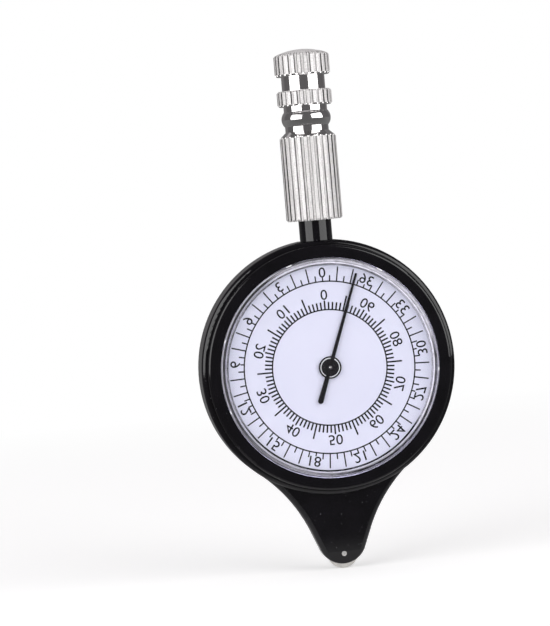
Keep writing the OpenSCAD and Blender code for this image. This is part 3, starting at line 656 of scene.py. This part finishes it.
FLOOR_HALF = 3.0
FLOOR_GREY = (0.9, 0.9, 0.9, 1)
FLOOR_LIFT = 0.35        # how much the floor glows, for the camera alone
FADE_START = 0.12
FADE_END = 0.35
MIRRORED_FADE = 8.0      # how much sooner the floor ends for what mirrors it
WHITE = (1, 1, 1, 1)
ROOM_TINT = (1, 0.97, 0.99, 1)
FRONT_FILL = 0.4         # light of the room in front of the object
FRONT_MIRRORED = 0.12    # the same for what mirrors it
BEHIND = 0.18            # light of the room behind the object
BEHIND_HIGH = 0.95       # the same high up
BEHIND_EDGE = (0.55, 0.75)    # where front turns into behind, by the ray's direction along y
HIGH_EDGE = (0.55, 0.7)       # where low turns into high, by its direction along z
SOFTBOX_M = 1.0
# Lamp panels: azimuth (0 in front of the dial, 90 to its right), elevation, width, height, radiance
SOFTBOXES = {
    "softbox_left": (-57, 8, 1.05, 1.3, 2.9),
    "softbox_right": (47, 8, 1.05, 1.3, 2.65),
}
FRAME_PX = (550, 626)
PX_PER_MM = 5.967
DIAL_PX = (329.8, 367.3)
TO_CAMERA = (-0.147, -0.987, 0.066)
ROLL_DEG = 4.85
CAMERA_M = 0.45
SENSOR_MM = 36
CLIP_NEAR = 0.01
CLIP_FAR = 20


def floor():
    """A pale floor that fades into the white background away from the object."""
    bm = bmesh.new()
    bmesh.ops.create_grid(bm, x_segments=1, y_segments=1, size=FLOOR_HALF)
    mesh = mesh_from("floor", bm)
    obj = bpy.data.objects.new("floor", mesh)
    bpy.context.scene.collection.objects.link(obj)
    s = Shader("floor_pale")
    s.put(Base_Color=FLOOR_GREY, Roughness=0.8, Specular_IOR_Level=0.1, Emission_Color=WHITE)
    s.link(s.between(s.ray("Camera"), 0, FLOOR_LIFT, 0, 1), s.bsdf.inputs["Emission Strength"])

    glossy = s.ray("Glossy")
    nearer = s.between(glossy, 1, MIRRORED_FADE, 0, 1)
    distance = s.math("MULTIPLY", s.vector_math("LENGTH", s.coords), nearer)
    level = s.node("ShaderNodeMix")
    s.link(glossy, level.inputs["Factor"])
    level.inputs["A"].default_value = 1.0
    s.link(s.between(s.split()["Y"], FRONT_MIRRORED, BEHIND, -FADE_START, FADE_START),
           level.inputs["B"])
    white = s.node("ShaderNodeEmission")
    s.link(level.outputs["Result"], white.inputs["Strength"])
    s.blend_out(s.between(distance, 0, 1, FADE_START, FADE_END), white.outputs["Emission"])
    mesh.materials.append(s.mat)


def softbox(name, azimuth, elevation, width, height, radiance):
    """A lamp panel that faces the dial's centre and that the camera doesn't see."""
    az, el = math.radians(azimuth), math.radians(elevation)
    away = Vector((math.sin(az) * math.cos(el), -math.cos(az) * math.cos(el), math.sin(el)))
    data = bpy.data.lights.new(name, "AREA")
    data.shape = "RECTANGLE"
    data.size = width
    data.size_y = height
    data.energy = radiance * math.pi * width * height
    obj = bpy.data.objects.new(name, data)
    obj.location = Vector((0, 0, DIAL_Z)) + away * SOFTBOX_M
    obj.rotation_euler = away.to_track_quat("Z", "Y").to_euler()
    obj.visible_camera = False
    bpy.context.scene.collection.objects.link(obj)


def studio():
    """A room that is white for the camera and, as light, brightest high up behind the object."""
    world = bpy.data.worlds.new("studio")
    bpy.context.scene.world = world
    world.use_nodes = True
    tree = world.node_tree
    make, link = tree.nodes.new, tree.links.new

    split = make("ShaderNodeSeparateXYZ")
    link(make("ShaderNodeTexCoord").outputs["Generated"], split.inputs["Vector"])
    path = make("ShaderNodeLightPath").outputs
    level = make("ShaderNodeMix")
    link(map_range(tree, split.outputs["Y"], *BEHIND_EDGE, 0, 1), level.inputs["Factor"])
    link(map_range(tree, path["Is Glossy Ray"], 0, 1, FRONT_FILL, FRONT_MIRRORED),
         level.inputs["A"])
    link(map_range(tree, split.outputs["Z"], *HIGH_EDGE, BEHIND, BEHIND_HIGH), level.inputs["B"])
    light = tree.nodes["Background"]
    light.inputs["Color"].default_value = ROOM_TINT
    link(level.outputs["Result"], light.inputs["Strength"])

    seen = make("ShaderNodeBackground")
    seen.inputs["Color"].default_value = WHITE
    mix = make("ShaderNodeMixShader")
    link(path["Is Camera Ray"], mix.inputs["Fac"])
    link(light.outputs["Background"], mix.inputs[1])
    link(seen.outputs["Background"], mix.inputs[2])
    link(mix.outputs["Shader"], tree.nodes["World Output"].inputs["Surface"])


def camera():
    """A long lens at the photograph's angle, with the dial's centre at DIAL_PX of FRAME_PX."""
    data = bpy.data.cameras.new("camera")
    cam = bpy.data.objects.new("camera", data)
    bpy.context.scene.collection.objects.link(cam)
    bpy.context.scene.camera = cam
    centre = on_dial(0, 0)
    to_camera = Vector(TO_CAMERA).normalized()
    place = centre + to_camera * CAMERA_M
    roll = Matrix.Rotation(math.radians(-ROLL_DEG), 4, "Z")
    turn = to_camera.to_track_quat("Z", "Y").to_matrix().to_4x4() @ roll
    right = turn.col[0].to_3d()
    up = turn.col[1].to_3d()
    shift_x = (FRAME_PX[0] / 2 - DIAL_PX[0]) / PX_PER_MM * MM
    shift_y = (DIAL_PX[1] - FRAME_PX[1] / 2) / PX_PER_MM * MM
    aim = centre + right * shift_x + up * shift_y
    back = (place - aim).normalized()
    turn = back.to_track_quat("Z", "Y").to_matrix().to_4x4() @ roll
    cam.matrix_world = Matrix.Translation(place) @ turn
    tall = FRAME_PX[1] / PX_PER_MM * MM
    data.sensor_width = SENSOR_MM
    data.lens = SENSOR_MM * CAMERA_M / tall
    data.clip_start = CLIP_NEAR
    data.clip_end = CLIP_FAR


# ---- The scene --------------------------------------------------------------------------------

bpy.context.scene.view_settings.view_transform = "Standard"
floor()
studio()
for name, panel in SOFTBOXES.items():
    softbox(name, *panel)
camera()

case_black = gloss_black("case_black", CASE_ROUGH)
stem_black = gloss_black("stem_black", STEM_ROUGH)
metals = {name: metal(name, *looks) for name, looks in METALS.items()}

for mat, names in (
        (case_black, ("front_case", "rear_case", "bezel")),
        (stem_black, ("stem",)),
        (clear_crystal(), ("crystal",)),
        (enamel(), ("dial",)),
        (hand_paint(), ("hand", "hand_cap")),
        (handle_nickel(), ("handle",)),
        (metals["bright_nickel"], ("wheel_axle",)),
        (metals["wheel_metal"], ("tracing_wheel",)),
        (metals["plate_brass"], ("movement_plate", "bridge", "bridge_pillars")),
        (metals["train_brass"], ("centre_bush", "wheel_pinion", "first_gear", "first_pinion",
                                 "second_gear", "second_pinion", "centre_gear")),
        (metals["steel"], ("case_screws", "plate_screws", "bridge_screws", "tension_washer",
                           "first_arbor", "second_arbor")),
        (metals["blued_steel"], ("centre_arbor",))):
    for name in names:
        mesh = nodes[name].data
        mesh.materials.clear()
        mesh.materials.append(mat)

ink_black = ink()
# white of the painted highlight on the hub's collar and the painted glints on the crystal's lugs
white = bright_white()
for name, make, body, slot, mat in (
        ("outer_scale", outer_scale, "case", "dial_white", ink_black),
        ("inner_scale", inner_scale, "case", "dial_white", ink_black),
        ("figures", figures, "case", "dial_white", ink_black),
        ("hub_collar", hub_collar, "centre_wheel", "bright_nickel", white),
        ("centre_pip", centre_pip, "centre_wheel", "bright_nickel", metals["bright_nickel"]),
        ("crystal_lugs", crystal_lugs, "case", "crystal_clear", white)):
    new_object(name, make(), body, mat)

ring_top = CRYSTAL_TOP + RING_T / 2
bevel_top = ring_top - (BEVEL_RING[0] - BEVEL_START)
# thin rings of painted shade and painted highlights over the dial's rim
for name, radii, top, drop, shades in (
        ("painted_edge_shade", EDGE_RING, CRYSTAL_UNDER, 0, EDGE_SHADES),
        ("painted_light_band", LIGHT_RING, ring_top, 0, LIGHT_SHADES),
        ("painted_middle_shade", MIDDLE_RING, ring_top, 0, MIDDLE_SHADES),
        ("painted_bevel_reflection", BEVEL_RING, bevel_top, BEVEL_RING[1] - BEVEL_RING[0], BEVEL_SHADES)):
    ring = crystal_ring(name, radii, top, drop)
    new_object(name, ring, "case", ring_shade(name, shades))
